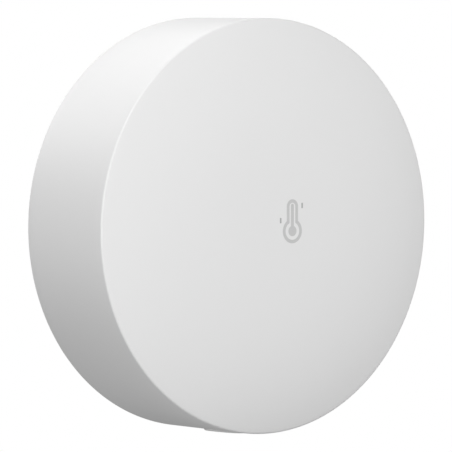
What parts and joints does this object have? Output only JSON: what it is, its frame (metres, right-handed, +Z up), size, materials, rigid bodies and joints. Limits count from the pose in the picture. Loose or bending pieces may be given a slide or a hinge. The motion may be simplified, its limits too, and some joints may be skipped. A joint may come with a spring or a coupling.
{
  "type": "temperature humidity sensor",
  "caption": "Round white wall sensor with a crowned front, a side pairing button and a coin cell behind a bayonet door, stuck to a wall by a foam ring.",
  "frame": {"origin": "centre of the foam ring's face on the wall", "axes": "+Z up, +Y into the wall, front towards -Y, +X to the right seen from the front"},
  "size_m": [0.036, 0.0121, 0.036],
  "materials": {
    "shell_plastic": "fine satin white moulding",
    "cover_plastic": "fine textured white moulding",
    "pad_foam": "closed-cell foam with an adhesive face",
    "cell_steel": "nickel plated sheet",
    "seal_plastic": "moulded seal",
    "board_laminate": "glass laminate under solder mask",
    "contact_steel": "plated spring sheet",
    "chip_resin": "moulded chip resin",
    "crystal_lid": "plated lid",
    "led_lens": "clear resin lens",
    "capacitor_ceramic": "fired ceramic",
    "resistor_ceramic": "glazed black ceramic",
    "track_copper": "etched copper track",
    "switch_resin": "moulded switch housing",
    "plunger_resin": "moulded plunger",
    "screw_steel": "zinc plated steel"
  },
  "bodies": {
    "housing": {"front_shell": "shell_plastic", "rear_cover": "cover_plastic", "adhesive_pad": "pad_foam", "cell_can": "cell_steel", "cell_gasket": "seal_plastic", "cell_cap": "cell_steel", "main_board": "board_laminate", "positive_contact": "contact_steel", "negative_contact": "contact_steel", "radio_chip": "chip_resin", "radio_crystal": "crystal_lid", "sensor_chip": "chip_resin", "status_led": "led_lens", "chip_capacitors": "capacitor_ceramic", "chip_resistors": "resistor_ceramic", "antenna_trace": "track_copper", "switch_body": "switch_resin", "switch_cover": "contact_steel", "board_screws": "screw_steel"},
    "door": {"battery_door": "cover_plastic"},
    "button": {"pairing_button": "shell_plastic", "switch_plunger": "plunger_resin"}
  },
  "joints": [
    {"name": "door_turn", "type": "hinge", "parent": "housing", "child": "door", "pos_m": [0, 0, 0], "axis": [0, 1, 0], "range_deg": [0, 40]},
    {"name": "button_push", "type": "slide", "parent": "housing", "child": "button", "axis": [0, 0, 1], "range_m": [0, 0.0003], "stiffness_N_per_m": 4000, "springref_m": -0.0001}
  ]
}
